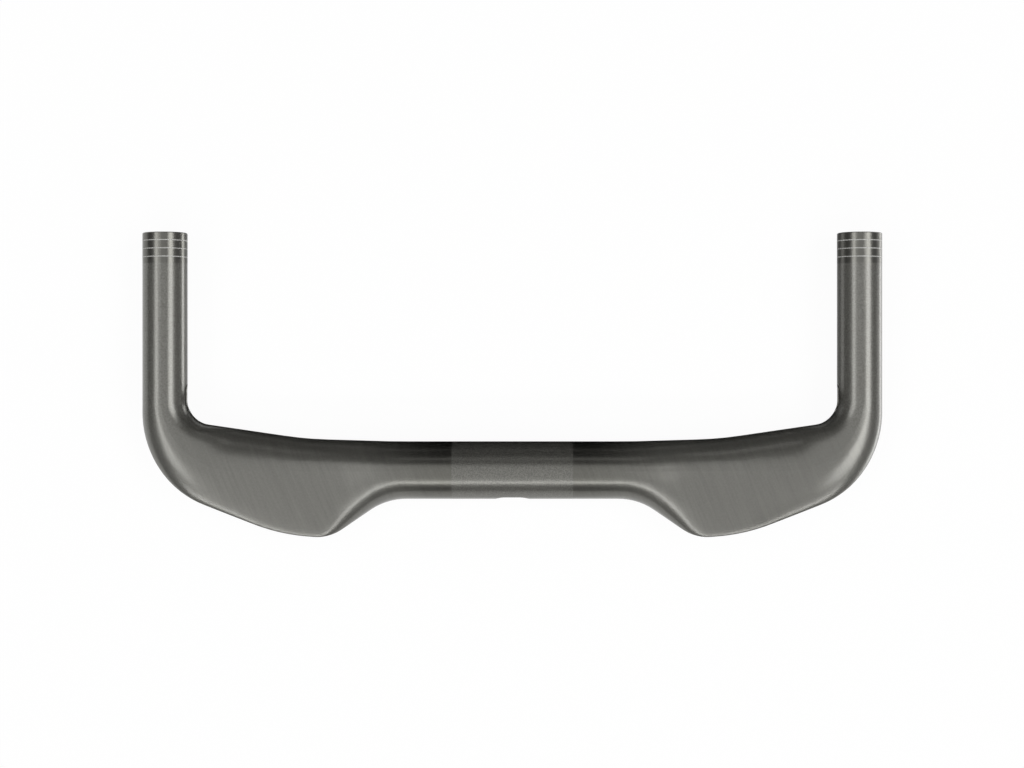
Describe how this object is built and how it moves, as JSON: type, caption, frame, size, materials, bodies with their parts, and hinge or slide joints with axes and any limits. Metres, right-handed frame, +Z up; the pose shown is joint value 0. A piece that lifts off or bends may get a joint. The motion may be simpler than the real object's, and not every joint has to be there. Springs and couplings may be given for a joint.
{
  "type": "bullhorn handlebar",
  "caption": "Hollow moulded bullhorn base bar with a round stem seat, flat palm wings, level forward horns with open ends, and slots for inner cables.",
  "frame": {"origin": "middle of the round stem seat, on its axis", "axes": "+X along the stem seat's axis, +Y forward along the horns, +Z up"},
  "size_m": [0.4088, 0.1675, 0.0318],
  "materials": {
    "carbon": "satin"
  },
  "bodies": {
    "root": {"handlebar": "carbon"}
  },
  "joints": []
}
